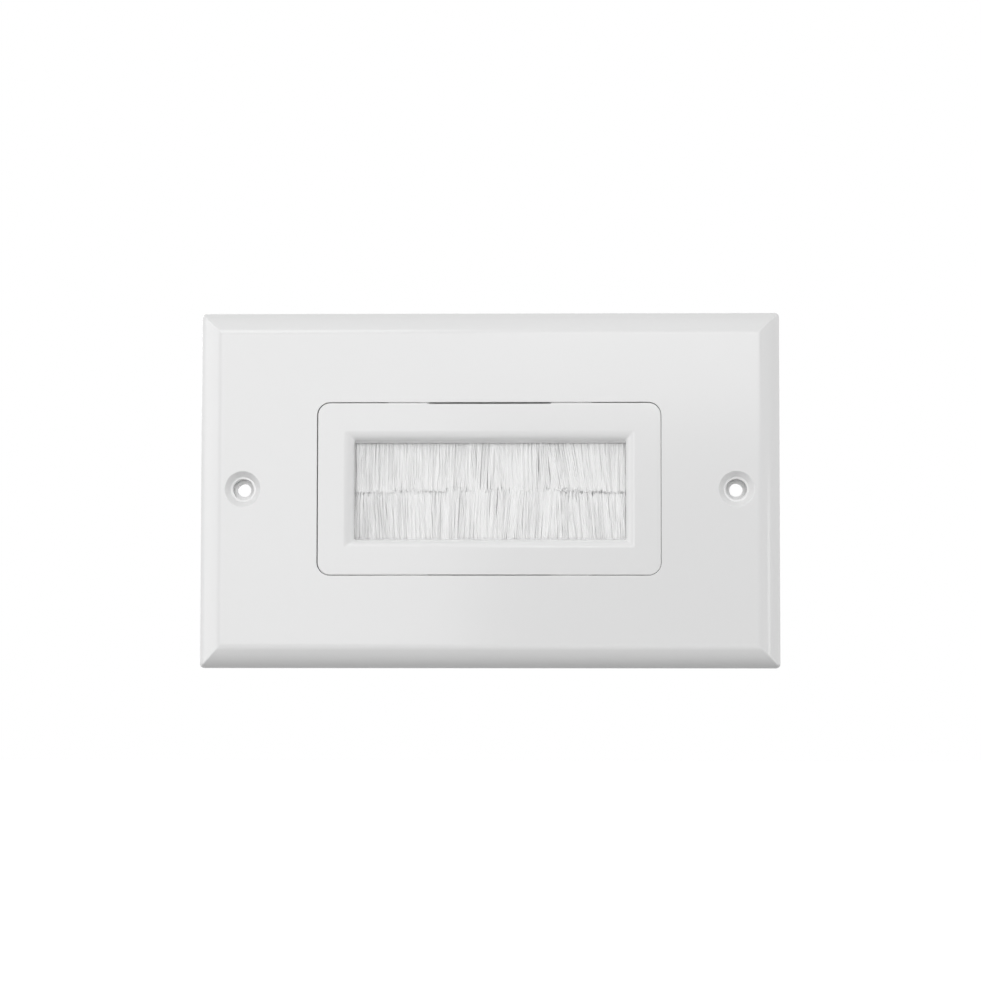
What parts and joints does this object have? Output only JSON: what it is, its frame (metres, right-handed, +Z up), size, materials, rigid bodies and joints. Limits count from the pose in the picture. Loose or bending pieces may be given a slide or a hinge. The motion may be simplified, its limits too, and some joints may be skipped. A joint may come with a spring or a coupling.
{
  "type": "brush wall plate",
  "caption": "White single-gang wall plate with a rectangular brush insert; cables pass between facing rows of nylon bristles.",
  "frame": {"origin": "middle of the plate on the plane of the wall it is fixed to, midway between the two box screws", "axes": "+X to the right along the plate's long side, +Y into the wall, +Z up as it hangs"},
  "size_m": [0.114, 0.0104, 0.07],
  "materials": {
    "plate_plastic": "smooth white, semi-gloss",
    "insert_plastic": "smooth white, semi-gloss",
    "retainer_plastic": "moulded white, satin",
    "nylon_filament": "fine white nylon filaments",
    "zinc_steel": "bright zinc plating"
  },
  "bodies": {
    "root": {"wall_plate": "plate_plastic", "insert_body": "insert_plastic", "upper_brush_channel": "zinc_steel", "lower_brush_channel": "zinc_steel", "upper_core_wire": "zinc_steel", "lower_core_wire": "zinc_steel", "upper_bristles": "nylon_filament", "lower_bristles": "nylon_filament", "rear_retainer": "retainer_plastic", "retainer_screw_1": "zinc_steel", "retainer_screw_2": "zinc_steel", "retainer_screw_3": "zinc_steel", "retainer_screw_4": "zinc_steel"}
  },
  "joints": []
}
